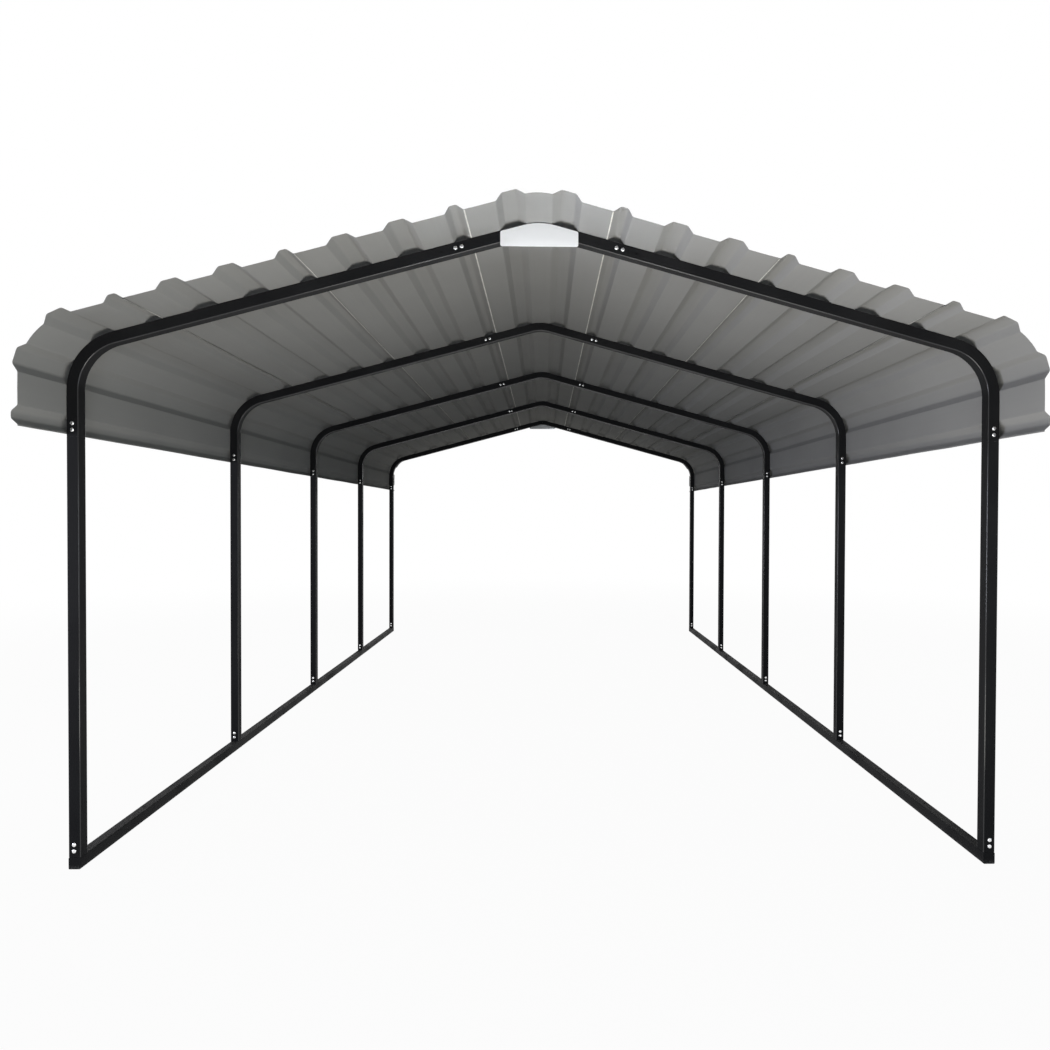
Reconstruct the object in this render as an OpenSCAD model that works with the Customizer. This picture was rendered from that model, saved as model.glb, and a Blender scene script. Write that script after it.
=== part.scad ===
// Carport: five bent square-tube frames on two base rails, under a ribbed steel roof
// that laps rib over rib and turns down over both sides.
// X runs across the carport, Y along it with the front at -Y, and Z is up from the ground.

/* [Frame] */
// Width over the outer faces of the posts
frame_w = 3600; // [2800:10:4800]
// Distance from one frame to the next
bay_l = 1400; // [900:10:1800]
// Number of bays, one fewer than the frames
bays = 4; // [2:1:6]
// Height at which the outer lines of post and roof slope would cross
eave_h = 2015; // [1800:5:2800]
// Roof slope in degrees
slope_deg = 15.1; // [10:0.1:20]
// Bend radius of the tubes at their middle line
bend_r = 210; // [150:5:260]

/* [Tube] */
// Outside size of the square tube
tube = 45; // [38:1:60]
// Wall of the tube
tube_wall = 1.4; // [1:0.1:2.5]
// Outside corner radius of the tube
tube_r = 4; // [3:0.5:8]
// Length of the bow's straight leg, from its bend down to the joint with the post
bow_leg = 176; // [120:1:400]
// Distance from the ridge to the joint between bow and peak, measured level
peak_half_w = 352; // [250:2:600]
// Length of a narrow tube end inside its socket
tongue_l = 90; // [70:5:140]
// Gap round a narrow tube end inside its socket
tongue_gap = 0.3; // [0.2:0.05:0.6]
// Bevel round the tube ends that meet at a joint, less than the wall
joint_bevel = 0.9; // [0.3:0.1:0.9]

/* [Bolt holes] */
// Diameter of the holes for the frame bolts
bolt_hole_d = 8.5; // [6:0.5:11]
// Distance from a joint to its first bolt
bolt_first = 25; // [20:1:30]
// Distance between the two bolts of a joint
bolt_pitch = 25; // [20:1:30]
// Diameter of the spare holes beside the peak joints and in the ridge
spare_hole_d = 7; // [4:0.5:9]
// Distance of the spare hole from the peak joint, on the eave side
spare_hole_off = 31; // [20:1:60]
// Diameter of the anchor holes in the base rails
anchor_hole_d = 11; // [8:0.5:14]
// Distance from a frame back to the anchor hole behind it
anchor_off = 450; // [200:10:700]

/* [Roof] */
// Overhang of the roof past the end frames
overhang = 247.5; // [50:0.5:400]
// Thickness of the roof sheet
sheet_t = 0.4; // [0.3:0.05:1]
// Distance between ribs
rib_pitch = 203.2; // [190:0.1:215]
// Height of the ribs
rib_h = 23; // [15:0.5:32]
// Width of a plain rib at its foot
rib_base = 106; // [90:1:115]
// Width of a plain rib at its top
rib_top = 53; // [40:1:60]
// Width of a lap rib at its foot
lap_base = 67; // [56:1:80]
// Width of a lap rib at its top
lap_top = 25; // [18:1:34]
// Radius of the bends along the feet of the ribs
rib_r = 9; // [4:1:10]
// Radius of the bends along the tops of the ribs
rib_top_r = 15; // [4:1:18]
// Length of sheet that the ribs take up as they close over the corner bend
bend_take = 16; // [0:1:30]
// Width of the lip that a sheet has past its lap rib
lip_w = 5; // [3:0.5:8]
// Distance over which the upper sheet rises onto the lower one
rise_w = 18; // [10:1:24]
// Gap between two lapped sheets
lap_gap = 0.15; // [0.1:0.05:0.4]
// Gap between the frames and the sheets that rest on them
seat_gap = 0.2; // [0.15:0.05:0.4]

/* [Plates] */
// Width of a plate at the peak
plate_w = 300; // [200:5:400]
// Height of a plate in its middle
plate_h = 90; // [70:1:120]
// Thickness of a plate
plate_t = 1.5; // [1:0.1:3]
// Radius of a plate's corners
plate_r = 7; // [3:0.5:12]
// Distance of a plate's upper edge below the top of the tube
plate_drop = 3; // [1:0.5:8]

/* [Hidden] */
$fn = 64;
// Length that cuts run past a face
over = 2;
// Thinning of the wall on each of its faces where a tube is bent, and the length over which
// the full wall runs on into the bend
bend_thin = 0.03;
bend_lap = 1;
// Largest turn of one flat strip where a sheet follows a bend
strip_deg = 3;
// Flat strips in one bend along a rib
rib_strips = 4;
// Ribs of one sheet from one lap to the next
ribs_a_sheet = 3;
// Sheets from the ridge to the side's lower edge: upper, lower and eave
side_sheets = 3;

frames = bays + 1;
run_l = bays * bay_l;
tongue = tube - 2 * (tube_wall + tongue_gap);
tongue_r = max(tube_r - tube_wall - tongue_gap, tube_wall);
bend_out_r = bend_r + tube / 2;
tube_corner_out = (tube / 2 - tube_r) * sqrt(2) + tube_r;

// The corner turns from upright into the slope, the ridge from one slope into the other
corner_deg = 90 - slope_deg;
corner_tangent = bend_out_r * tan(corner_deg / 2);
ridge_tangent = bend_out_r * tan(slope_deg);
corner_x = frame_w / 2 - bend_out_r;
corner_z = eave_h - corner_tangent;
apex_h = eave_h + frame_w / 2 * tan(slope_deg);
ridge_z = apex_h - bend_out_r / cos(slope_deg);
slope_l = frame_w / 2 / cos(slope_deg) - corner_tangent - ridge_tangent;
peak_arm = peak_half_w / cos(slope_deg) - ridge_tangent;
bow_arm = slope_l - peak_arm;
post_joint_h = corner_z - bow_leg;

// Lengths of sheet along the outer line of the frame, counted from the ridge
ridge_arc_l = bend_out_r * slope_deg * PI / 180;
corner_start = ridge_arc_l + slope_l;
corner_sheet_l = bend_out_r * corner_deg * PI / 180 + bend_take;
corner_end = corner_start + corner_sheet_l;
lap_rise = sheet_t + lap_gap;
roof_l = run_l + tube + 2 * overhang;

SIDES = ["left", "right"];
SHEETS = ["upper", "lower", "eave"];

black_paint = "#1b1c20";
grey_sheet = "#84847f";
white_plate = "#f2f2f0";

// Place of a frame along the carport, the first at the front
function frame_y(i) = (i - 1) * bay_l - run_l / 2;

// Square with round corners, centred
module round_square(size, r) {
    square([size, size - 2 * r], center = true);
    square([size - 2 * r, size], center = true);
    for (x = [-1, 1], y = [-1, 1])
        translate([x * (size / 2 - r), y * (size / 2 - r)]) circle(r);
}

// Cross-section of a tube, thinned on each face of its wall where it is bent
module tube_section(size, r, thin = 0) {
    difference() {
        round_square(size - 2 * thin, r - thin);
        round_square(size - 2 * (tube_wall - thin), max(r - tube_wall, tube_wall / 2) + thin);
    }
}

// Straight tube from the origin up
module straight_tube(length) {
    linear_extrude(length) tube_section(tube, tube_r);
}

// Bent tube round the Y axis, from the X axis upwards
module bent_tube(deg) {
    rotate([90, 0, 0])
        rotate_extrude(angle = deg)
            translate([bend_r, 0]) tube_section(tube, tube_r, bend_thin);
}

// Straight tube that carries on upwards where a bend ends
module bend_arm(length) {
    translate([bend_r, 0, -bend_lap]) straight_tube(length + bend_lap);
}

// Shoulder and narrow end that carry on from a tube that stops at the origin
module stepped_end() {
    translate([0, 0, -tube_wall])
        linear_extrude(tube_wall)
            difference() {
                round_square(tube - tube_wall, tube_r - tube_wall / 2);
                round_square(tongue - 2 * tube_wall, tongue_r / 2);
            }
    translate([0, 0, -tube_wall])
        linear_extrude(tongue_l + tube_wall)
            difference() {
                round_square(tongue, tongue_r);
                round_square(tongue - 2 * tube_wall, tongue_r / 2);
            }
}

// Cuts the bevel round a tube end that stands on the origin
module end_bevel() {
    for (i = [0:7])
        rotate(i * 45)
            translate([(i % 2 == 0 ? tube / 2 : tube_corner_out) - joint_bevel, -tube / 2, 0])
                rotate([0, 45, 0]) cube([2 * over, tube, 2 * over]);
}
module upper_end_bevel() {
    mirror([0, 0, 1]) end_bevel();
}

// Two bolt holes across a tube, from the joint at the origin upwards
module bolt_holes() {
    for (i = [0, 1])
        translate([0, 0, bolt_first + i * bolt_pitch])
            cross_hole(bolt_hole_d);
}

// Hole from the front face of a tube to its back face
module cross_hole(d) {
    rotate([90, 0, 0]) cylinder(h = tube + 2 * over, d = d, center = true);
}

// Puts a right-hand shape on the named side
module on_side(side) {
    if (side == "left") mirror([1, 0, 0]) children();
    else children();
}

// Base rail, closed at its ends, with anchor holes
module base_rail() {
    rail_l = run_l + tube;
    color(black_paint)
        translate([frame_w / 2 - tube / 2, 0, tube / 2])
            difference() {
                union() {
                    rotate([90, 0, 0])
                        linear_extrude(rail_l, center = true) tube_section(tube, tube_r);
                    for (end = [-1, 1])
                        translate([0, end * (rail_l - tube_wall) / 2, 0])
                            rotate([90, 0, 0])
                                linear_extrude(tube_wall, center = true)
                                    round_square(tube - tube_wall, tube_r - tube_wall / 2);
                }
                for (i = [1:bays])
                    translate([0, frame_y(i) + anchor_off, 0])
                        cylinder(h = tube + 2 * over, d = anchor_hole_d, center = true);
            }
}

// Stubs on the rail that go up inside the posts
module rail_stubs() {
    color(black_paint)
        for (i = [1:frames])
            translate([frame_w / 2 - tube / 2, frame_y(i), tube])
                difference() {
                    linear_extrude(tongue_l)
                        difference() {
                            round_square(tongue, tongue_r);
                            round_square(tongue - 2 * tube_wall, tongue_r / 2);
                        }
                    bolt_holes();
                }
}

// Post that stands on the rail and steps in at its top
module post() {
    post_l = post_joint_h - tube;
    color(black_paint)
        translate([frame_w / 2 - tube / 2, 0, tube])
            difference() {
                union() {
                    straight_tube(post_l);
                    translate([0, 0, post_l]) stepped_end();
                }
                bolt_holes();
                end_bevel();
                translate([0, 0, post_l]) {
                    bolt_holes();
                    upper_end_bevel();
                }
            }
}

// Bow that turns from the post into the roof slope and steps in at its ridge end
module bow() {
    color(black_paint)
        translate([corner_x, 0, corner_z])
            difference() {
                union() {
                    mirror([0, 0, 1]) bend_arm(bow_leg);
                    bent_tube(corner_deg);
                    rotate([0, -corner_deg, 0]) {
                        bend_arm(bow_arm);
                        translate([bend_r, 0, bow_arm]) stepped_end();
                    }
                }
                translate([bend_r, 0, -bow_leg]) {
                    bolt_holes();
                    end_bevel();
                }
                rotate([0, -corner_deg, 0])
                    translate([bend_r, 0, bow_arm]) {
                        bolt_holes();
                        upper_end_bevel();
                        translate([0, 0, -spare_hole_off]) cross_hole(spare_hole_d);
                    }
            }
}

// Peak that takes the two bows
module peak_bow() {
    color(black_paint)
        translate([0, 0, ridge_z])
            difference() {
                union() {
                    rotate([0, -corner_deg, 0]) bent_tube(2 * slope_deg);
                    for (side = SIDES) on_side(side) down_slope() bend_arm(peak_arm);
                }
                for (side = SIDES)
                    on_side(side) down_slope()
                        translate([bend_r, 0, peak_arm]) mirror([0, 0, 1]) {
                            bolt_holes();
                            end_bevel();
                        }
                translate([0, 0, bend_r]) cross_hole(spare_hole_d);
            }
}

// Turns an arm that rises from a bend so that it runs down the right-hand slope from the ridge
module down_slope() {
    rotate([0, -corner_deg, 0]) mirror([0, 0, 1]) children();
}

// Point of the roof's seat at length s of the sheet from the ridge, raised by h off the frame
function seat_point(s, h) =
    s < 0 ? mirrored(seat_point(-s, h))
    : s < ridge_arc_l ? on_arc([0, ridge_z], 90 - arc_deg(s), h)
    : s < corner_start ? on_arc([0, ridge_z], corner_deg, h)
        + (s - ridge_arc_l) * [cos(slope_deg), -sin(slope_deg)]
    : s < corner_end ? on_arc([corner_x, corner_z], corner_deg - corner_turn(s), h)
    : on_arc([corner_x, corner_z], 0, h) - [0, s - corner_end];
function mirrored(p) = [-p[0], p[1]];
function arc_deg(length) = length / bend_out_r * 180 / PI;
function corner_turn(s) = (min(s, corner_end) - corner_start) / corner_sheet_l * corner_deg;
function on_arc(centre, deg, h) = centre + (bend_out_r + seat_gap + h) * [cos(deg), sin(deg)];

// Outline of a rib round s: where it is along the sheet, its height, and the lift of the sheet there
function rib(s, base, top, lift) = [
    [s - base / 2, 0, lift],
    [s - top / 2, rib_h, lift],
    [s + top / 2, rib_h, lift],
    [s + base / 2, 0, lift]
];
function plain_rib(s) = rib(s, rib_base, rib_top, 0);
function lap_rib(s, lift) = rib(s, lap_base, lap_top, lift);

// Upper edge of a sheet, under the sheet above, and lower edge, over the sheet below
function under_edge(s) = concat([[s - lap_base / 2 - lip_w, 0, 0]], lap_rib(s, 0));
function hem_edge(s) = flipped(under_edge(-s));
function over_edge(s) = concat(
    [
        [s - lap_base / 2 - lip_w - 2 * rise_w, 0, 0],
        [s - lap_base / 2 - lip_w - rise_w, 0, lap_rise]
    ],
    lap_rib(s, lap_rise),
    [[s + lap_base / 2 + lip_w, 0, lap_rise]]
);
function lap_s(k) = (ribs_a_sheet / 2 + (k - 1) * ribs_a_sheet) * rib_pitch;
function plain_ribs(first) = [for (i = [1:ribs_a_sheet - 1]) each plain_rib(first + i * rib_pitch)];
function flipped(edge) = [for (i = [len(edge) - 1:-1:0]) [-edge[i][0], edge[i][1], edge[i][2]]];

// Sheet number k below the ridge sheet, and the ridge sheet itself
function side_sheet(k) = concat(
    under_edge(lap_s(k)),
    plain_ribs(lap_s(k)),
    k == side_sheets ? hem_edge(lap_s(k + 1)) : over_edge(lap_s(k + 1))
);
function ridge_sheet() = concat(flipped(over_edge(lap_s(1))), plain_ribs(-lap_s(1)), over_edge(lap_s(1)));

// Adds points where a flat of the sheet follows a bend
function strips(a, b) =
    a[1] + b[1] > 0 ? 1 : max(1, ceil(abs(seat_deg(b[0]) - seat_deg(a[0])) / strip_deg));
function seat_deg(s) =
    s < 0 ? -seat_deg(-s)
    : s < ridge_arc_l ? arc_deg(s)
    : s < corner_start ? slope_deg
    : slope_deg + corner_turn(s);
function split(points) = [
    for (i = [0:len(points) - 2])
        for (j = [0:strips(points[i], points[i + 1]) - 1])
            points[i] + (points[i + 1] - points[i]) * j / strips(points[i], points[i + 1]),
    points[len(points) - 1]
];

// Rounds each sharp corner of a line of points, tops and feet of ribs by their own radius,
// and keeps the lift of the sheet there
function unit(v) = v / norm(v);
function left_of(v) = [-v[1], v[0]];
function turned(v, deg) = [v[0] * cos(deg) - v[1] * sin(deg), v[0] * sin(deg) + v[1] * cos(deg)];
function turn_deg(a, b) = atan2(a[0] * b[1] - a[1] * b[0], a * b);
function round_corner(before, at, after, lift) =
    let (
        along = unit(at - before),
        turn = turn_deg(along, unit(after - at)),
        r = turn < 0 ? rib_top_r : rib_r,
        spoke = left_of(along) * r * sign(turn),
        centre = at - along * r * tan(abs(turn) / 2) + spoke
    )
    [for (j = [0:rib_strips]) concat(centre - turned(spoke, turn * j / rib_strips), lift)];
function is_sharp(before, at, after) = abs(turn_deg(at - before, after - at)) > 2 * strip_deg;
function rounded(line, lifts) = [
    for (i = [0:len(line) - 1])
        each i > 0 && i < len(line) - 1 && is_sharp(line[i - 1], line[i], line[i + 1])
            ? round_corner(line[i - 1], line[i], line[i + 1], lifts[i])
            : [concat(line[i], lifts[i])]
];

// Offsets a line of points to its left, each by its own amount
function corner_normal(line, i) =
    let (
        before = left_of(unit(line[max(i, 1)] - line[max(i, 1) - 1])),
        last = len(line) - 1,
        after = left_of(unit(line[min(i, last - 1) + 1] - line[min(i, last - 1)]))
    )
    (before + after) / (1 + before * after);
function offset_line(line, by) = [for (i = [0:len(line) - 1]) line[i] + by[i] * corner_normal(line, i)];
function backwards(line) = [for (i = [len(line) - 1:-1:0]) line[i]];

// Ribbed sheet over the whole length of the roof
module sheet(points) {
    fine = split(points);
    bent = rounded([for (p = fine) seat_point(p[0], p[1])], [for (p = fine) p[2]]);
    line = [for (p = bent) [p[0], p[1]]];
    under = [for (p = bent) p[2]];
    top = [for (p = bent) p[2] + sheet_t];
    color(grey_sheet)
        rotate([90, 0, 0])
            linear_extrude(roof_l, center = true)
                polygon(concat(offset_line(line, under), backwards(offset_line(line, top))));
}

// Five-sided plate whose upper edges follow the peak
module plate_outline() {
    top_r = bend_out_r - plate_drop;
    offset(r = plate_r) offset(delta = -plate_r)
        intersection() {
            translate([-plate_w / 2, ridge_z + top_r - plate_h]) square([plate_w, plate_h]);
            translate([0, ridge_z])
                union() {
                    circle(top_r);
                    for (side = [0, 1])
                        mirror([side, 0])
                            rotate(-slope_deg)
                                translate([0, -plate_w]) square([plate_w, plate_w + top_r]);
                }
        }
}

module plate(y) {
    color(white_plate)
        translate([0, y, 0])
            rotate([90, 0, 0]) linear_extrude(plate_t, center = true) plate_outline();
}

for (side = SIDES) {
    on_side(side) base_rail();
    on_side(side) rail_stubs();
    for (i = [1:frames]) {
        on_side(side) translate([0, frame_y(i), 0]) post();
        on_side(side) translate([0, frame_y(i), 0]) bow();
    }
    for (k = [1:side_sheets])
        on_side(side) sheet(side_sheet(k));
}
for (i = [1:frames])
    translate([0, frame_y(i), 0]) peak_bow();
sheet(ridge_sheet());  // ridge_panel
plate(-(run_l + tube + plate_t) / 2);  // front_plate
plate((run_l + tube + plate_t) / 2);  // rear_plate
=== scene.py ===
import math

import bpy
from mathutils import Matrix, Vector


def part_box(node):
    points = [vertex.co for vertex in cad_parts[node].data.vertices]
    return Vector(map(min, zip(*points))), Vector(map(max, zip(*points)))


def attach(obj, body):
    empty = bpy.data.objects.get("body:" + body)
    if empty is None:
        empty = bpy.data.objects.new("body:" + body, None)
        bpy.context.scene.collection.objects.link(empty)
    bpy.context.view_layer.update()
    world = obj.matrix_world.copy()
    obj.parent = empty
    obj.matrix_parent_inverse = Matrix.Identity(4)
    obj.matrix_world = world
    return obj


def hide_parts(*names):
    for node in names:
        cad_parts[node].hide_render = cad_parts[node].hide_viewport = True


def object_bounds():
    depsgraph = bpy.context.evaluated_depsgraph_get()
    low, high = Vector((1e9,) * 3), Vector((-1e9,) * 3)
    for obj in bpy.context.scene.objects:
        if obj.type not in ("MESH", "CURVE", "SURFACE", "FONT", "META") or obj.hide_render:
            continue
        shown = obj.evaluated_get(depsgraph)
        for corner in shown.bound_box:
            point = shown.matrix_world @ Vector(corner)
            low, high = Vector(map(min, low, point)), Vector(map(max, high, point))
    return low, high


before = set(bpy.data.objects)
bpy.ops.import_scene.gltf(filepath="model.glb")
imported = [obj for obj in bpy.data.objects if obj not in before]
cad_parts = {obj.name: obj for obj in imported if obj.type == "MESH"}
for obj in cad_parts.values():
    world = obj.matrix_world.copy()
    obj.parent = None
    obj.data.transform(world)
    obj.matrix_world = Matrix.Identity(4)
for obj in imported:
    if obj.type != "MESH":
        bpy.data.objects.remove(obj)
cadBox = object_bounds()
print("stage: frame loaded,", len(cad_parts), "nodes")

sides = {"left": -1, "right": 1}
frameCount = sum(1 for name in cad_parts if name.startswith("peak_bow_"))
weldGap = 0.00002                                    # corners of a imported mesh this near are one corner


# Small helpers

def pick(piece):
    if bpy.context.mode != "OBJECT":
        bpy.ops.object.mode_set(mode="OBJECT")
    bpy.ops.object.select_all(action="DESELECT")
    piece.select_set(True)
    bpy.context.view_layer.objects.active = piece


def editAll(piece, kind="FACE"):
    pick(piece)
    bpy.ops.object.mode_set(mode="EDIT")
    bpy.ops.mesh.select_mode(type=kind)
    bpy.ops.mesh.select_all(action="SELECT")


def editFaces(piece, test):  # edit mode with only the faces that pass the test selected
    editAll(piece)
    bpy.ops.mesh.select_all(action="DESELECT")
    bpy.ops.object.mode_set(mode="OBJECT")
    for face in piece.data.polygons:
        face.select = test(face)
    bpy.ops.object.mode_set(mode="EDIT")


def editEdges(piece, test):  # the same for edges, told by their two ends
    editAll(piece, "EDGE")
    bpy.ops.mesh.select_all(action="DESELECT")
    bpy.ops.object.mode_set(mode="OBJECT")
    verts = piece.data.vertices
    for edge in piece.data.edges:
        edge.select = test(verts[edge.vertices[0]].co, verts[edge.vertices[1]].co)
    bpy.ops.object.mode_set(mode="EDIT")


def done():
    bpy.ops.object.mode_set(mode="OBJECT")


def copyNode(node, name):
    piece = bpy.data.objects.new(name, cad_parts[node].data.copy())
    bpy.context.scene.collection.objects.link(piece)
    editAll(piece)
    bpy.ops.mesh.remove_doubles(threshold=weldGap)
    done()
    bpy.ops.mesh.customdata_custom_splitnormals_clear()
    return piece


def paint(piece, material):
    piece.data.materials.clear()
    piece.data.materials.append(material)


def middle(node):
    low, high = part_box(node)
    return (low + high) / 2


frameY = [middle(f"peak_bow_{i + 1}").y for i in range(frameCount)]
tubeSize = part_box("left_base_rail")[1].z


# Shader node groups for effects that several finishes share

def newGroup(name, inputs, outputs):
    group = bpy.data.node_groups.new(name, "ShaderNodeTree")
    for socket, value in inputs.items():
        made = group.interface.new_socket(socket, in_out="INPUT", socket_type="NodeSocketFloat")
        made.default_value = value
    for socket in outputs:
        group.interface.new_socket(socket, in_out="OUTPUT", socket_type="NodeSocketFloat")
    return group, group.nodes.new("NodeGroupInput"), group.nodes.new("NodeGroupOutput")


def feed(tree, socket, value):  # another node's output is linked, anything else is set on the socket
    if isinstance(value, bpy.types.NodeSocket):
        tree.links.new(value, socket)
    else:
        socket.default_value = value


def objectPlace(tree):
    return tree.nodes.new("ShaderNodeTexCoord").outputs["Object"]


def surfaceNormal(tree):
    return tree.nodes.new("ShaderNodeNewGeometry").outputs["Normal"]


def axisOf(tree, vector, axis):
    node = tree.nodes.new("ShaderNodeSeparateXYZ")
    tree.links.new(vector, node.inputs[0])
    return node.outputs[axis]


def mathNode(tree, operation, first, second=None):
    node = tree.nodes.new("ShaderNodeMath")
    node.operation = operation
    feed(tree, node.inputs[0], first)
    if second is not None:
        feed(tree, node.inputs[1], second)
    return node.outputs[0]


def spread(tree, value, low, high, toLow=0.0, toHigh=1.0):  # soft step from low to high
    node = tree.nodes.new("ShaderNodeMapRange")
    node.interpolation_type = "SMOOTHSTEP"
    feed(tree, node.inputs["Value"], value)
    feed(tree, node.inputs["From Min"], low)
    feed(tree, node.inputs["From Max"], high)
    feed(tree, node.inputs["To Min"], toLow)
    feed(tree, node.inputs["To Max"], toHigh)
    return node.outputs["Result"]


def between(tree, share, start, end):  # start where the share is 0, end where it is 1
    return spread(tree, share, 0.0, 1.0, start, end)


def noiseNode(tree, scale, detail, vector=None):
    node = tree.nodes.new("ShaderNodeTexNoise")
    node.inputs["Detail"].default_value = detail
    feed(tree, node.inputs["Scale"], scale)
    if vector is None:
        vector = objectPlace(tree)
    tree.links.new(vector, node.inputs["Vector"])
    return node.outputs["Fac"]


peelShape = {"detail": 1.0, "finer": 3.7, "fineShare": 0.35}


def makePaintPeel():  # the fine ripple of sprayed or coil-coated paint
    group, given, result = newGroup("paintPeel", {"Scale": 300.0}, ["Height"])
    coarse = noiseNode(group, given.outputs["Scale"], peelShape["detail"])
    fineScale = mathNode(group, "MULTIPLY", given.outputs["Scale"], peelShape["finer"])
    fine = noiseNode(group, fineScale, peelShape["detail"])
    height = mathNode(group, "ADD", coarse, mathNode(group, "MULTIPLY", fine, peelShape["fineShare"]))
    group.links.new(height, result.inputs["Height"])
    return group


def makeHandling():  # patches where hands, cloths and weather changed the gloss
    group, given, result = newGroup("handling", {"Scale": 3.0, "Low": 0.42, "High": 0.68}, ["Mask"])
    cloud = noiseNode(group, given.outputs["Scale"], detail=6.0)
    mask = spread(group, cloud, given.outputs["Low"], given.outputs["High"])
    group.links.new(mask, result.inputs["Mask"])
    return group


dustShape = {
    "liesFrom": 0.3, "liesFully": 1.0,               # upward part of the normal on which dust stays
    "grainDetail": 5.0, "speckFrom": 0.4, "speckFully": 0.75,
}


def makeDust():  # dust that lies on upward faces and splashes up from the ground
    group, given, result = newGroup("dust", {"Splash": 0.12, "Scale": 45.0}, ["Mask"])
    upward = axisOf(group, surfaceNormal(group), "Z")
    lying = spread(group, upward, dustShape["liesFrom"], dustShape["liesFully"])
    height = mathNode(group, "DIVIDE", axisOf(group, objectPlace(group), "Z"), given.outputs["Splash"])
    splashed = between(group, height, 1.0, 0.0)
    grain = noiseNode(group, given.outputs["Scale"], dustShape["grainDetail"])
    speckle = spread(group, grain, dustShape["speckFrom"], dustShape["speckFully"])
    both = mathNode(group, "MAXIMUM", lying, splashed)
    group.links.new(mathNode(group, "MULTIPLY", both, speckle), result.inputs["Mask"])
    return group


paintPeel = makePaintPeel()
handling = makeHandling()
dust = makeDust()


# Materials: patches and dust are the values that a finish gives to those groups

def newMaterial(name):
    material = bpy.data.materials.new(name)
    material.use_nodes = True
    return material, material.node_tree, material.node_tree.nodes["Principled BSDF"]


def useGroup(tree, group, values):
    node = tree.nodes.new("ShaderNodeGroup")
    node.node_tree = group
    for socket, value in values.items():
        node.inputs[socket].default_value = value
    return node.outputs[0]


def mixColours(tree, share, first, second):
    node = tree.nodes.new("ShaderNodeMix")
    node.data_type = "RGBA"
    tree.links.new(share, node.inputs[0])
    feed(tree, node.inputs[6], first)                # 6, 7 and output 2 are the node's colour sockets
    feed(tree, node.inputs[7], second)
    return node.outputs[2]


def paintRipple(tree, look):
    return useGroup(tree, paintPeel, {"Scale": look["peelScale"]})


def bumpFrom(tree, shader, height, look):
    bump = tree.nodes.new("ShaderNodeBump")
    bump.inputs["Strength"].default_value = look["peelStrength"]
    bump.inputs["Distance"].default_value = look["peelDepth"]
    tree.links.new(height, bump.inputs["Height"])
    tree.links.new(bump.outputs["Normal"], shader.inputs["Normal"])


framePaintLook = {
    "black": (0.0122, 0.0122, 0.0128, 1), "worn": (0.017, 0.017, 0.0175, 1),
    "patches": {"Scale": 4.0, "Low": 0.4, "High": 0.7},
    "dusty": (0.16, 0.156, 0.148, 1), "dust": {"Splash": 0.02, "Scale": 240.0},
    "dustShare": 0.9, "dustDulls": 0.2,
    "glossy": 0.5, "dull": 0.66, "specular": 0.04,
    "cornerShine": (0.06, 0.18), "shineRoughness": 0.14,
    "peelScale": 320.0, "peelStrength": 0.35, "peelDepth": 0.00012,
}


def makeFramePaint():
    look = framePaintLook
    material, tree, shader = newMaterial("framePaint")
    rubbed = useGroup(tree, handling, look["patches"])
    dusty = useGroup(tree, dust, look["dust"])
    colour = mixColours(tree, rubbed, look["black"], look["worn"])
    thin = mathNode(tree, "MULTIPLY", dusty, look["dustShare"])
    tree.links.new(mixColours(tree, thin, colour, look["dusty"]), shader.inputs["Base Color"])
    gloss = between(tree, rubbed, look["glossy"], look["dull"])
    dulled = mathNode(tree, "MULTIPLY", dusty, look["dustDulls"])
    tree.links.new(mathNode(tree, "ADD", gloss, dulled), shader.inputs["Roughness"])
    shader.inputs["Specular IOR Level"].default_value = look["specular"]
    ahead = mathNode(tree, "ABSOLUTE", axisOf(tree, surfaceNormal(tree), "Y"))
    corner = mathNode(tree, "MULTIPLY", ahead, mathNode(tree, "SUBTRACT", 1.0, ahead))
    shine = spread(tree, corner, *look["cornerShine"])    # thick, shiny paint round the tubes' corners
    tree.links.new(shine, shader.inputs["Coat Weight"])
    shader.inputs["Coat Roughness"].default_value = look["shineRoughness"]
    bumpFrom(tree, shader, paintRipple(tree, look), look)
    return material


roofSheetLook = {
    "pale": (0.31, 0.308, 0.296, 1), "deep": (0.272, 0.27, 0.26, 1),
    "patches": {"Scale": 1.7, "Low": 0.3, "High": 0.75}, "patchShare": 0.65,
    "rollStretch": (55.0, 1.6, 55.0), "rollDetail": 5.0,    # faint lines that the rollers leave
    "rollShare": 0.35, "rollDepth": 0.8,
    "dusty": (0.33, 0.325, 0.308, 1), "dust": {"Splash": 0.05, "Scale": 12.0}, "dustShare": 0.3,
    "glossy": 0.3, "dull": 0.44, "specular": 0.4,
    "peelScale": 240.0, "peelStrength": 0.3, "peelDepth": 0.00015,
}
roofBackLook = dict(roofSheetLook, glossy=0.46, dull=0.6, specular=0.0)


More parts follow.
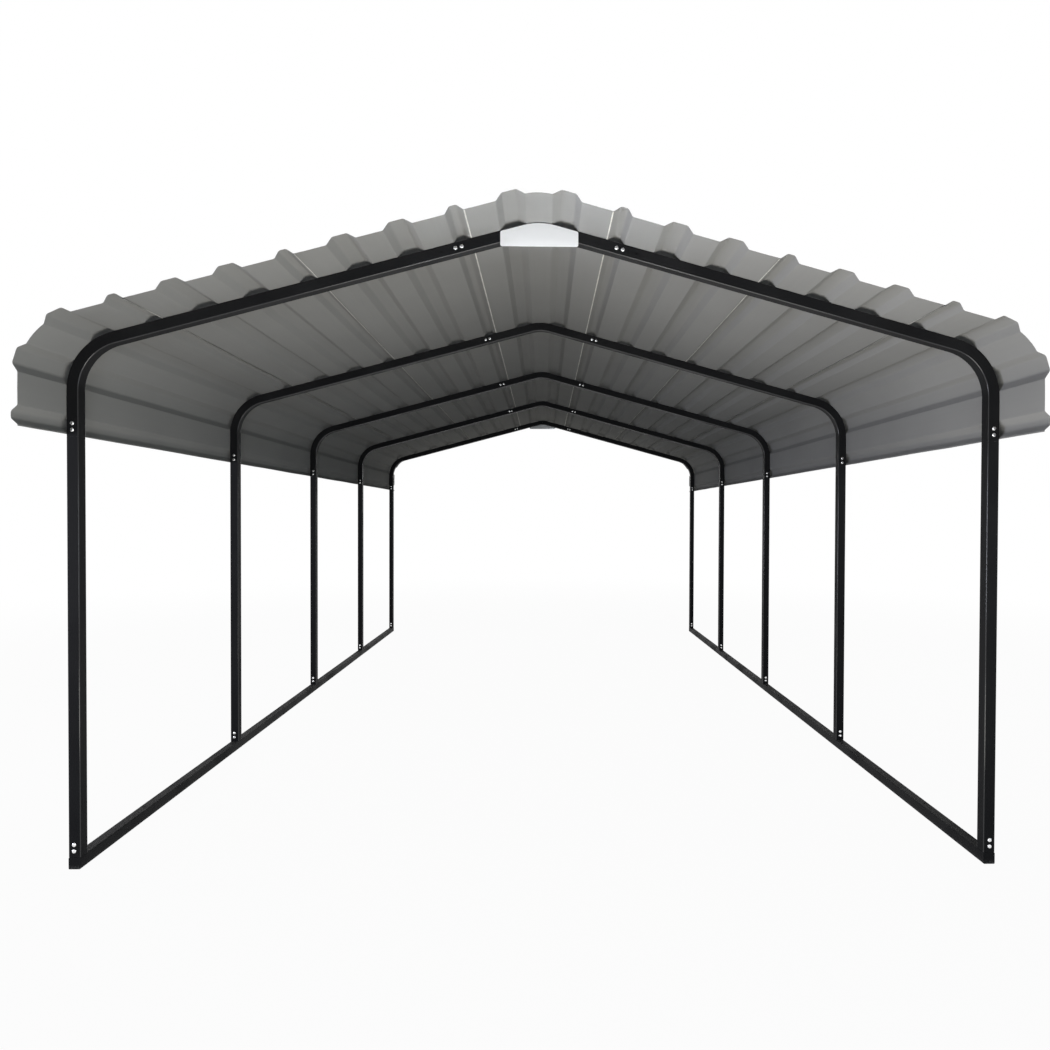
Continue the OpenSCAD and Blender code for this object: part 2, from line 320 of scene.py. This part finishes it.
def makeRoofSheet(name, look):  # satin paint outside, a duller backing coat inside
    material, tree, shader = newMaterial(name)
    along = tree.nodes.new("ShaderNodeMapping")
    along.inputs["Scale"].default_value = look["rollStretch"]
    tree.links.new(objectPlace(tree), along.inputs["Vector"])
    rolled = noiseNode(tree, 1.0, look["rollDetail"], along.outputs["Vector"])
    clouded = useGroup(tree, handling, look["patches"])
    dusty = useGroup(tree, dust, look["dust"])
    clouds = mathNode(tree, "MULTIPLY", clouded, look["patchShare"])
    lines = mathNode(tree, "MULTIPLY", rolled, look["rollShare"])
    colour = mixColours(tree, mathNode(tree, "ADD", clouds, lines), look["pale"], look["deep"])
    thin = mathNode(tree, "MULTIPLY", dusty, look["dustShare"])
    tree.links.new(mixColours(tree, thin, colour, look["dusty"]), shader.inputs["Base Color"])
    tree.links.new(between(tree, clouded, look["glossy"], look["dull"]), shader.inputs["Roughness"])
    shader.inputs["Specular IOR Level"].default_value = look["specular"]
    ridges = mathNode(tree, "MULTIPLY", rolled, look["rollDepth"])
    bumpFrom(tree, shader, mathNode(tree, "ADD", paintRipple(tree, look), ridges), look)
    return material


# pale colours of the lap band, which is part bare zinc and part painted highlight along the lap line
bareEdgeHighlightLook = {
    "bright": (0.78, 0.77, 0.71, 1), "dull": (0.56, 0.55, 0.51, 1),
    "patches": {"Scale": 14.0, "Low": 0.35, "High": 0.7},
    "roughness": 0.6, "specular": 0.02,
}


def makeBareEdge():  # bare zinc at a sheet's slit edge, drawn as a pale flat band that is also a painted highlight along the lap line
    look = bareEdgeHighlightLook
    material, tree, shader = newMaterial("bareEdge")
    worn = useGroup(tree, handling, look["patches"])
    tree.links.new(mixColours(tree, worn, look["bright"], look["dull"]), shader.inputs["Base Color"])
    shader.inputs["Roughness"].default_value = look["roughness"]
    shader.inputs["Specular IOR Level"].default_value = look["specular"]
    return material


boltZincLook = {
    "bright": (0.88, 0.88, 0.87, 1), "dull": (0.66, 0.67, 0.68, 1),
    "patches": {"Scale": 160.0, "Low": 0.35, "High": 0.75},
    "glossy": 0.2, "rough": 0.4,
    "peelScale": 900.0, "peelStrength": 0.2, "peelDepth": 0.00006,
}


def makeBoltZinc():
    look = boltZincLook
    material, tree, shader = newMaterial("boltZinc")
    worn = useGroup(tree, handling, look["patches"])
    tree.links.new(mixColours(tree, worn, look["bright"], look["dull"]), shader.inputs["Base Color"])
    tree.links.new(between(tree, worn, look["glossy"], look["rough"]), shader.inputs["Roughness"])
    shader.inputs["Metallic"].default_value = 1.0
    bumpFrom(tree, shader, paintRipple(tree, look), look)
    return material


rubberLook = {
    "black": (0.012, 0.012, 0.012, 1), "grey": (0.03, 0.03, 0.029, 1),
    "patches": {"Scale": 90.0, "Low": 0.3, "High": 0.8},
    "roughness": 0.75,
    "peelScale": 700.0, "peelStrength": 0.3, "peelDepth": 0.0001,
}


def makeRubber():
    look = rubberLook
    material, tree, shader = newMaterial("washerRubber")
    grain = useGroup(tree, handling, look["patches"])
    tree.links.new(mixColours(tree, grain, look["black"], look["grey"]), shader.inputs["Base Color"])
    shader.inputs["Roughness"].default_value = look["roughness"]
    bumpFrom(tree, shader, paintRipple(tree, look), look)
    return material


platePaintLook = {
    "white": (0.86, 0.86, 0.855, 1), "soiled": (0.74, 0.735, 0.72, 1),
    "patches": {"Scale": 9.0, "Low": 0.5, "High": 0.85}, "soilShare": 0.35,
    "glossy": 0.16, "dull": 0.34,
    "peelScale": 420.0, "peelStrength": 0.25, "peelDepth": 0.00006,
}


def makePlatePaint():
    look = platePaintLook
    material, tree, shader = newMaterial("platePaint")
    soiled = useGroup(tree, handling, look["patches"])
    faint = mathNode(tree, "MULTIPLY", soiled, look["soilShare"])
    tree.links.new(mixColours(tree, faint, look["white"], look["soiled"]), shader.inputs["Base Color"])
    tree.links.new(between(tree, soiled, look["glossy"], look["dull"]), shader.inputs["Roughness"])
    bumpFrom(tree, shader, paintRipple(tree, look), look)
    return material


framePaint = makeFramePaint()
roofSheet = makeRoofSheet("roofSheet", roofSheetLook)
roofBack = makeRoofSheet("roofBack", roofBackLook)
bareEdge = makeBareEdge()
boltZinc = makeBoltZinc()
washerRubber = makeRubber()
platePaint = makePlatePaint()
print("stage: finishes ready")

tubeNodes = [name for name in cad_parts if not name.endswith(("_panel", "_plate"))]
for name in tubeNodes:
    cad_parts[name].material_slots[0].material = framePaint


# Outline of the roof over the tubes, in metres

roofLine = {
    "halfWidth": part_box("right_base_rail")[1].x, "eave": 2.015, "slope": math.radians(15.1),
    "bend": 0.2325, "bendTake": 0.016,               # outer bend of the tubes, sheet taken up by ribs there
}


def cornerCentre():  # middle of the right-hand corner bend
    bend = roofLine["bend"]
    halfTurn = (math.pi / 2 - roofLine["slope"]) / 2
    return roofLine["halfWidth"] - bend, roofLine["eave"] - bend * math.tan(halfTurn)


def alongRoof(s):  # place and outward direction on the tubes' outer line, s metres of sheet from the ridge
    slope, bend = roofLine["slope"], roofLine["bend"]
    corner = math.pi / 2 - slope
    sign = -1 if s < 0 else 1
    far = abs(s)
    ridgeZ = roofLine["eave"] + roofLine["halfWidth"] * math.tan(slope) - bend / math.cos(slope)
    ridgeRun = bend * slope
    bothTangents = bend * (math.tan(slope) + math.tan(corner / 2))
    straight = roofLine["halfWidth"] / math.cos(slope) - bothTangents
    if far < ridgeRun:
        turn, centre, slide = far / bend, (0, ridgeZ), 0.0
    elif far < ridgeRun + straight:
        turn, centre, slide = slope, (0, ridgeZ), far - ridgeRun
    else:
        past = far - ridgeRun - straight
        cornerRun = bend * corner + roofLine["bendTake"]
        turn, centre = slope + corner * min(past / cornerRun, 1.0), cornerCentre()
        slide = max(past - cornerRun, 0.0)
    out = Vector((math.sin(turn), 0, math.cos(turn)))
    down = Vector((math.cos(turn), 0, -math.sin(turn)))
    place = Vector((centre[0], 0, centre[1])) + bend * out + slide * down
    return Vector((place.x * sign, 0, place.z)), Vector((out.x * sign, 0, out.z))


def outwardAt(x, z):  # outward direction of the roof at a place near it
    slope = roofLine["slope"]
    cornerX, cornerZ = cornerCentre()
    if abs(x) < cornerX:
        return Vector((math.copysign(math.sin(slope), x), 0, math.cos(slope)))
    return Vector((x - math.copysign(cornerX, x), 0, max(z - cornerZ, 0))).normalized()


# Roof sheets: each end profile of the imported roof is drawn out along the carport, then set slightly wavy

sheetShape = {
    "endFacing": 0.9, "wallFacing": 0.5,             # faces across the roof, and those that run along it
    "stepLength": 0.16,                              # longest stretch between two cross lines
    "nearFrame": (0.0, 0.024, 0.06, 0.11, 0.18),     # cross lines on both sides of each frame
    "grip": 0.03, "free": 0.3,                       # held this near a frame, free from here on
    "waveSize": 0.55, "waveDepth": 0.0045,           # long waves between the frames
    "dentSize": 0.16, "dentDepth": 0.0016,           # shorter waves of the flats
    "lipReach": 0.012,                               # an under-lip hangs loose this far in from its edge
    "lipDroop": {"upper": 0.0014, "lower": 0.0028, "eave": 0.0042},
    # width of the pale lap band at each lap, set per lap so that the painted highlight along the lap line
    # is brighter or fainter
    "bareWidths": {"upper": 0.0038, "lower": 0.0031, "eave": 0.0018},
    "smoothAngle": math.radians(24),
}
sheetFinishes = (roofSheet, roofBack, bareEdge)
sheetNodes = [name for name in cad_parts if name.endswith("_panel")]
waveTexture = bpy.data.textures.new("sheetWave", "CLOUDS")
waveTexture.noise_scale = sheetShape["waveSize"]
dentTexture = bpy.data.textures.new("sheetDent", "CLOUDS")
dentTexture.noise_scale = sheetShape["dentSize"]


def crossLines(front, rear):
    lines = {front, rear}
    for y in frameY:
        for away in sheetShape["nearFrame"]:
            lines |= {y - away, y + away}
    lines = sorted(y for y in lines if front <= y <= rear)
    filled = [front]
    for here, there in zip(lines, lines[1:]):
        parts = math.ceil((there - here) / sheetShape["stepLength"])
        filled += [here + (there - here) * (part + 1) / parts for part in range(parts)]
    return filled


def freeShare(y):  # 0 where a frame holds the sheet, 1 where it is free, with a soft step
    away = min(abs(y - other) for other in frameY)
    share = (away - sheetShape["grip"]) / (sheetShape["free"] - sheetShape["grip"])
    share = min(max(share, 0.0), 1.0)
    return share * share * (3 - 2 * share)


def holdAtFrames(panel):
    group = panel.vertex_groups.new(name="freeSpan")
    for vert in panel.data.vertices:
        group.add([vert.index], freeShare(vert.co.y), "REPLACE")


def loosenLip(panel, edge, droop):  # between the frames the under-lip of a lap hangs off the sheet above
    group = panel.vertex_groups.new(name="looseLip")
    for vert in panel.data.vertices:
        reach = 1 - (abs(vert.co.x) - edge) / sheetShape["lipReach"]
        if reach > 0:
            group.add([vert.index], reach * freeShare(vert.co.y), "REPLACE")
    hang = panel.modifiers.new("hang", "DISPLACE")
    hang.direction = "Z"
    hang.mid_level = 0.0
    hang.strength = -droop
    hang.vertex_group = "looseLip"
    bpy.ops.object.modifier_apply(modifier="hang")


def wave(panel, texture, direction, depth):
    push = panel.modifiers.new("push", "DISPLACE")
    push.texture = texture
    push.texture_coords = "GLOBAL"
    push.direction = direction
    push.mid_level = 0.5
    push.strength = depth
    push.vertex_group = "freeSpan"
    bpy.ops.object.modifier_apply(modifier="push")


def giveFinish(panel, finish, test):
    editFaces(panel, test)
    panel.active_material_index = sheetFinishes.index(finish)
    bpy.ops.object.material_slot_assign()
    done()


def makePanel(node):
    words = node.split("_")[:-1]
    kind = words[-1]
    low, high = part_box(node)
    panel = copyNode(node, "roof" + "".join(word.capitalize() for word in words))
    editFaces(panel, lambda face: face.normal.y > -sheetShape["endFacing"])
    bpy.ops.mesh.delete(type="FACE")                  # only the front end's profile is left
    bpy.ops.mesh.select_all(action="SELECT")
    lines = crossLines(low.y, high.y)
    for here, there in zip(lines, lines[1:]):
        bpy.ops.mesh.extrude_region_move(TRANSFORM_OT_translate={"value": (0, there - here, 0)})
    bpy.ops.mesh.select_all(action="SELECT")
    bpy.ops.mesh.normals_make_consistent(inside=False)
    done()
    panel.data.materials.clear()
    for material in sheetFinishes:
        panel.data.materials.append(material)
    giveFinish(panel, roofBack, lambda face: face.normal.dot(outwardAt(face.center.x, face.center.z)) < 0)
    edge = min(abs(low.x), abs(high.x))
    paleBand = sheetShape["bareWidths"].get(kind)
    if paleBand:                                          # the slit edge that lies under the next sheet: a pale band that is part bare zinc and part painted highlight, its width per lap setting how bright the lap line looks
        slit, wall = edge + paleBand, sheetShape["wallFacing"]
        giveFinish(panel, bareEdge, lambda face: abs(face.center.x) < slit and abs(face.normal.y) < wall)
    holdAtFrames(panel)
    wave(panel, waveTexture, "Z", sheetShape["waveDepth"])
    wave(panel, dentTexture, "Z", sheetShape["dentDepth"])
    if kind == "eave":
        wave(panel, dentTexture, "X", sheetShape["dentDepth"])
    if paleBand:
        loosenLip(panel, edge, sheetShape["lipDroop"][kind])
    panel.vertex_groups.clear()
    editAll(panel)                                    # like diagonals on both faces keep them apart
    bpy.ops.mesh.quads_convert_to_tris(quad_method="SHORTEST_DIAGONAL")
    done()
    bpy.ops.object.shade_smooth_by_angle(angle=sheetShape["smoothAngle"])
    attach(panel, "root")
    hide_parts(node)
    return panel


panels = {node: makePanel(node) for node in sheetNodes}
faceCount = sum(len(panel.data.polygons) for panel in panels.values())
print("stage:", len(panels), "roof sheets laid,", faceCount, "faces")


# Plates at the two peaks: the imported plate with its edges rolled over

plateShape = {
    "edgeRadius": 0.0005, "edgeSteps": 3,
    "flatAngle": math.radians(1), "sharpAngle": math.radians(50),
}


def makePlate(node):
    plate = copyNode(node, node.replace("_plate", "Plate"))
    editAll(plate)
    bpy.ops.mesh.dissolve_limited(angle_limit=plateShape["flatAngle"])
    done()
    roll = plate.modifiers.new("roll", "BEVEL")
    roll.width = plateShape["edgeRadius"]
    roll.segments = plateShape["edgeSteps"]
    roll.limit_method = "ANGLE"
    roll.angle_limit = plateShape["sharpAngle"]
    bpy.ops.object.modifier_apply(modifier="roll")
    bpy.ops.object.shade_smooth_by_angle(angle=plateShape["sharpAngle"])
    paint(plate, platePaint)
    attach(plate, "root")
    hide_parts(node)


for node in ("front_plate", "rear_plate"):
    makePlate(node)
print("stage: plates made")


# Fasteners: one of each kind is modelled along +Z from its seat, then copied into place

rimSlack = 0.00001                                   # points this near the top belong to its rim


def addDisc(corners, radius, height, base=0.0):  # a short cylinder that stands on base
    bpy.ops.object.select_all(action="DESELECT")
    centre = (0, 0, base + height / 2)
    bpy.ops.mesh.primitive_cylinder_add(vertices=corners, radius=radius, depth=height, location=centre)
    bpy.ops.object.transform_apply(location=True, rotation=True, scale=True)
    return bpy.context.object


def roundTop(piece, radius, steps):  # rounds the rim of the highest face
    top = max(vert.co.z for vert in piece.data.vertices)
    editEdges(piece, lambda a, b: min(a.z, b.z) > top - rimSlack)
    bpy.ops.mesh.bevel(offset=radius, segments=steps, profile=0.5, affect="EDGES")
    done()


def joinPieces(pieces, name):
    bpy.ops.object.select_all(action="DESELECT")
    for piece in pieces:
        piece.select_set(True)
    bpy.context.view_layer.objects.active = pieces[0]
    bpy.ops.object.join()
    pieces[0].name = name
    return pieces[0]


def copyTo(model, place, axis):  # a copy with its own mesh, its +Z turned to the axis
    pick(model)
    bpy.ops.object.duplicate()
    copy = bpy.context.object
    copy.location = place
    copy.rotation_euler = Vector(axis).to_track_quat("Z", "Y").to_euler()
    bpy.ops.object.transform_apply(location=True, rotation=True, scale=True)
    return copy


def setFasteners(made, name, shape):  # joins the copies into one piece
    fasteners = joinPieces(made, name)
    bpy.ops.object.shade_smooth_by_angle(angle=shape["smoothAngle"])
    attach(fasteners, "root")


def drop(model):
    bpy.data.objects.remove(model)


# Frame bolts: two at each joint, domed heads on the front face of the tubes and nuts behind

frameBolt = {
    "headRadius": 0.0079, "headHeight": 0.0046, "headRoundShare": 0.82, "headSteps": 5, "roundSides": 24,
    "washerRadius": 0.0088, "washerHeight": 0.0014, "washerRoundShare": 0.35,
    "nutRadius": 0.0073, "nutHeight": 0.0066, "nutRoundShare": 0.12, "nutSides": 6,
    "endRadius": 0.0039, "endLength": 0.0036, "endRoundShare": 0.22, "endSides": 14,
    "rimSteps": 2, "smoothAngle": math.radians(40),
    "first": 0.025, "pitch": 0.025,                  # seam to first bolt, and from there to the second
}


def makeBoltHead():
    shape = frameBolt
    head = addDisc(shape["roundSides"], shape["headRadius"], shape["headHeight"])
    roundTop(head, shape["headHeight"] * shape["headRoundShare"], shape["headSteps"])
    paint(head, boltZinc)
    return head


def makeNut():
    shape = frameBolt
    washer = addDisc(shape["roundSides"], shape["washerRadius"], shape["washerHeight"])
    roundTop(washer, shape["washerHeight"] * shape["washerRoundShare"], shape["rimSteps"])
    nut = addDisc(shape["nutSides"], shape["nutRadius"], shape["nutHeight"], shape["washerHeight"])
    roundTop(nut, shape["nutHeight"] * shape["nutRoundShare"], shape["rimSteps"])
    nutTop = shape["washerHeight"] + shape["nutHeight"]
    end = addDisc(shape["endSides"], shape["endRadius"], shape["endLength"], nutTop)
    roundTop(end, shape["endRadius"] * shape["endRoundShare"], shape["rimSteps"])
    model = joinPieces([washer, nut, end], "nutModel")
    paint(model, boltZinc)
    return model


def boltSpots(i):  # middle of the tube at each bolt of frame i
    run = [frameBolt["first"], frameBolt["first"] + frameBolt["pitch"]]
    spots = []
    for side, sign in sides.items():
        postX = middle(f"{side}_post_{i}").x
        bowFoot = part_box(f"{side}_bow_{i}")[0].z
        for away in run:
            spots += [Vector((postX, 0, tubeSize + away)), Vector((postX, 0, bowFoot + away))]
        low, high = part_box(f"peak_bow_{i}")
        lean, rise = math.sin(roofLine["slope"]), math.cos(roofLine["slope"])
        seam = Vector(((high.x - tubeSize / 2 * lean) * sign, 0, low.z + tubeSize / 2 * rise))
        spots += [seam + away * Vector((-rise * sign, 0, lean)) for away in run]
    return spots


boltHead, boltNut = makeBoltHead(), makeNut()
for i, y in enumerate(frameY, 1):
    made = []
    for spot in boltSpots(i):
        made.append(copyTo(boltHead, spot + Vector((0, y - tubeSize / 2, 0)), (0, -1, 0)))
        made.append(copyTo(boltNut, spot + Vector((0, y + tubeSize / 2, 0)), (0, 1, 0)))
    setFasteners(made, f"frameBolts{i}", frameBolt)
drop(boltHead)
drop(boltNut)
print("stage: frame bolts set")


# Roof screws: one in each flat at each frame, and along the laps between the frames

roofScrew = {
    "sealRadius": 0.0068, "sealHeight": 0.0014, "sealRoundShare": 0.4, "roundSides": 12,
    "washerRadius": 0.0072, "washerHeight": 0.0012, "washerRoundShare": 0.6,
    "headRadius": 0.0047, "headHeight": 0.0042, "headRoundShare": 0.14, "headSides": 6,
    "rimSteps": 1, "smoothAngle": math.radians(35),
    "sinkIn": 0.0002,                                # the seal is pressed this far into its seat
    "pitch": 0.2032, "flats": 10,                    # from flat to flat, and flats beside the ridge one
    "sheet": 0.0006,                                 # from the tubes to the sheet's outer face
    "laps": {1.5: "ridge_panel", 4.5: "{}_upper_panel", 7.5: "{}_lower_panel"},  # by pitches, sheet on top
    "endMargin": 0.07,                               # from a lap's last screw to the end of the roof
    "reach": 0.06,                                   # a lap's seat is looked for from this far outside
}


def makeRoofScrew():
    shape = roofScrew
    seal = addDisc(shape["roundSides"], shape["sealRadius"], shape["sealHeight"], -shape["sinkIn"])
    paint(seal, washerRubber)
    roundTop(seal, shape["sealHeight"] * shape["sealRoundShare"], shape["rimSteps"])
    washerBase = shape["sealHeight"] - shape["sinkIn"]
    washer = addDisc(shape["roundSides"], shape["washerRadius"], shape["washerHeight"], washerBase)
    paint(washer, boltZinc)
    roundTop(washer, shape["washerHeight"] * shape["washerRoundShare"], shape["rimSteps"])
    headBase = washerBase + shape["washerHeight"]
    head = addDisc(shape["headSides"], shape["headRadius"], shape["headHeight"], headBase)
    paint(head, boltZinc)
    roundTop(head, shape["headHeight"] * shape["headRoundShare"], shape["rimSteps"])
    return joinPieces([washer, seal, head], "roofScrewModel")


screwModel = makeRoofScrew()
for i, y in enumerate(frameY, 1):
    made = []
    for flat in range(-roofScrew["flats"], roofScrew["flats"] + 1):
        place, out = alongRoof(flat * roofScrew["pitch"])
        made.append(copyTo(screwModel, place + out * roofScrew["sheet"] + Vector((0, y, 0)), out))
    setFasteners(made, f"roofScrews{i}", roofScrew)
roofEnds = [cadBox[0].y + roofScrew["endMargin"], cadBox[1].y - roofScrew["endMargin"]]
betweenFrames = [(here + there) / 2 for here, there in zip(frameY, frameY[1:])]
for side, sign in sides.items():
    made = []
    for lap, node in roofScrew["laps"].items():
        place, out = alongRoof(sign * lap * roofScrew["pitch"])
        for y in roofEnds + betweenFrames:
            start = place + out * roofScrew["reach"] + Vector((0, y, 0))
            seat = panels[node.format(side)].ray_cast(start, -out)[1]
            made.append(copyTo(screwModel, seat, out))
    setFasteners(made, side + "LapScrews", roofScrew)
drop(screwModel)
print("stage: roof screws set")


# Floor, light and camera

def seenRays(tree):  # 1 for rays that show the background: straight, mirrored or through glass
    path = tree.nodes.new("ShaderNodeLightPath")
    straight = mathNode(tree, "MAXIMUM", path.outputs["Is Camera Ray"], path.outputs["Is Glossy Ray"])
    return mathNode(tree, "MAXIMUM", straight, path.outputs["Is Transmission Ray"])


floorLook = {
    "size": 90.0, "pale": (0.42, 0.42, 0.42, 1), "white": (1, 1, 1, 1),
    "whiteNear": 0.965, "clearFrom": 3.5, "clearTo": 11.0,    # all white from clearTo metres out
}


def layFloor():
    look = floorLook
    bpy.ops.object.select_all(action="DESELECT")
    bpy.ops.mesh.primitive_plane_add(size=look["size"], location=(0, 0, 0))
    floor = bpy.context.object
    floor.name = "floor"
    material = bpy.data.materials.new("floorPale")
    material.use_nodes = True
    tree = material.node_tree
    tree.nodes.clear()
    out = tree.nodes.new("ShaderNodeOutputMaterial")
    mix = tree.nodes.new("ShaderNodeMixShader")
    matte = tree.nodes.new("ShaderNodeBsdfDiffuse")
    matte.inputs["Color"].default_value = look["pale"]
    white = tree.nodes.new("ShaderNodeEmission")
    white.inputs["Color"].default_value = look["white"]
    away = tree.nodes.new("ShaderNodeVectorMath")
    away.operation = "LENGTH"
    tree.links.new(objectPlace(tree), away.inputs[0])
    share = spread(tree, away.outputs["Value"], look["clearFrom"], look["clearTo"], look["whiteNear"], 1.0)
    tree.links.new(mathNode(tree, "MULTIPLY", share, seenRays(tree)), mix.inputs[0])
    tree.links.new(matte.outputs[0], mix.inputs[1])
    tree.links.new(white.outputs[0], mix.inputs[2])
    tree.links.new(mix.outputs[0], out.inputs["Surface"])
    floor.data.materials.append(material)


worldLook = {"soft": 0.09, "softTint": (0.86, 0.93, 1.0, 1), "white": 1.0, "whiteTint": (1, 1, 1, 1)}


def setWorld():
    world = bpy.data.worlds.new("studio")
    bpy.context.scene.world = world
    world.use_nodes = True
    tree = world.node_tree
    tree.nodes.clear()
    out = tree.nodes.new("ShaderNodeOutputWorld")
    mix = tree.nodes.new("ShaderNodeMixShader")
    for socket, kind in ((1, "soft"), (2, "white")):
        background = tree.nodes.new("ShaderNodeBackground")
        background.inputs["Color"].default_value = worldLook[kind + "Tint"]
        background.inputs["Strength"].default_value = worldLook[kind]
        tree.links.new(background.outputs[0], mix.inputs[socket])
    tree.links.new(seenRays(tree), mix.inputs[0])
    tree.links.new(mix.outputs[0], out.inputs["Surface"])


lamps = {                                            # size is width and height, spread in degrees
    "groundBounce": {
        "place": (0.26, -4.5, 0.06), "aim": (0.26, -4.5, 3.0), "size": (2.4, 2.4),
        "power": 72.0, "spread": 180, "tint": (1.0, 0.98, 0.93),
    },
    "rearBounce": {
        "place": (0.0, 4.5, 0.06), "aim": (0.0, 4.5, 3.0), "size": (2.4, 2.4),
        "power": 15.0, "spread": 180, "tint": (1.0, 0.98, 0.93),
    },
    "underPeak": {
        "place": (0.05, -3.5, 0.06), "aim": (0.05, -3.2, 2.4), "size": (0.4, 0.4),
        "power": 1.3, "spread": 32, "tint": (0.88, 0.92, 1.0),
    },
    "leftSky": {
        "place": (-5.2, -4.0, 1.1), "aim": (1.8, -2.2, 1.9), "size": (2.0, 2.0),
        "power": 68.0, "spread": 120, "tint": (0.82, 0.85, 1.0),
    },
    "rightSky": {
        "place": (5.2, -4.0, 1.1), "aim": (-1.8, -2.2, 1.9), "size": (2.0, 2.0),
        "power": 7.0, "spread": 120, "tint": (0.5, 0.75, 1.0),
    },
    "front": {
        "place": (0.6, -9.5, 1.0), "aim": (0, -2.8, 2.2), "size": (1.8, 1.8),
        "power": 118.0, "spread": 180, "tint": (0.86, 0.92, 1.0),
    },
    "above": {
        "place": (-1.0, -1.0, 7.5), "aim": (0, 0, 0), "size": (7.0, 7.0),
        "power": 280.0, "spread": 180, "tint": (1.0, 1.0, 1.0),
    },
    "leftSide": {
        "place": (-9.0, 0.3, 3.4), "aim": (-1.8, 0.3, 2.26), "size": (6.4, 1.0),
        "power": 10.0, "spread": 24, "tint": (1.0, 1.0, 1.0),
    },
    "rightSide": {
        "place": (9.0, 0.0, 3.4), "aim": (1.8, 0.0, 2.26), "size": (7.0, 1.0),
        "power": 14.0, "spread": 24, "tint": (1.0, 1.0, 1.0),
    },
    "rear": {
        "place": (0.0, 10.2, 3.4), "aim": (0.0, 3.0, 2.26), "size": (4.6, 1.6),
        "power": 22.0, "spread": 60, "tint": (1.0, 1.0, 1.0),
    },
}


def hangLamps():
    for name, lamp in lamps.items():
        data = bpy.data.lights.new(name + "Lamp", "AREA")
        data.shape = "ELLIPSE"
        data.size, data.size_y = lamp["size"]
        data.energy = lamp["power"]
        data.color = lamp["tint"]
        data.spread = math.radians(lamp["spread"])
        obj = bpy.data.objects.new(name + "Lamp", data)
        bpy.context.scene.collection.objects.link(obj)
        obj.location = lamp["place"]
        obj.visible_camera = False
        aim = Vector(lamp["aim"]) - Vector(lamp["place"])
        obj.rotation_euler = aim.to_track_quat("-Z", "Y").to_euler()


cameraSpot = {
    "place": (0.0219, -5.547, 1.3608),
    "yaw": -0.019, "pitch": -0.0128, "roll": 0.0034,
    "imageSize": 1050, "focalPixels": 704.7, "centrePixel": (557.5, 525.75),
    "sensorWidth": 36.0, "farClip": 200.0,
}


def placeCamera():
    data = bpy.data.cameras.new("camera")
    camera = bpy.data.objects.new("camera", data)
    bpy.context.scene.collection.objects.link(camera)
    half = cameraSpot["imageSize"] / 2
    data.sensor_width = cameraSpot["sensorWidth"]
    data.lens = data.sensor_width * cameraSpot["focalPixels"] / cameraSpot["imageSize"]
    data.shift_x = (half - cameraSpot["centrePixel"][0]) / cameraSpot["imageSize"]
    data.shift_y = (cameraSpot["centrePixel"][1] - half) / cameraSpot["imageSize"]
    data.clip_end = cameraSpot["farClip"]
    turn = (
        Matrix.Rotation(cameraSpot["yaw"], 4, "Z")
        @ Matrix.Rotation(math.pi / 2 + cameraSpot["pitch"], 4, "X")
        @ Matrix.Rotation(cameraSpot["roll"], 4, "Z")
    )
    camera.location = cameraSpot["place"]
    camera.rotation_euler = turn.to_euler()
    bpy.context.scene.camera = camera


layFloor()
setWorld()
hangLamps()
placeCamera()
bpy.context.scene.view_settings.view_transform = "Standard"
print("stage: floor, light and camera set")
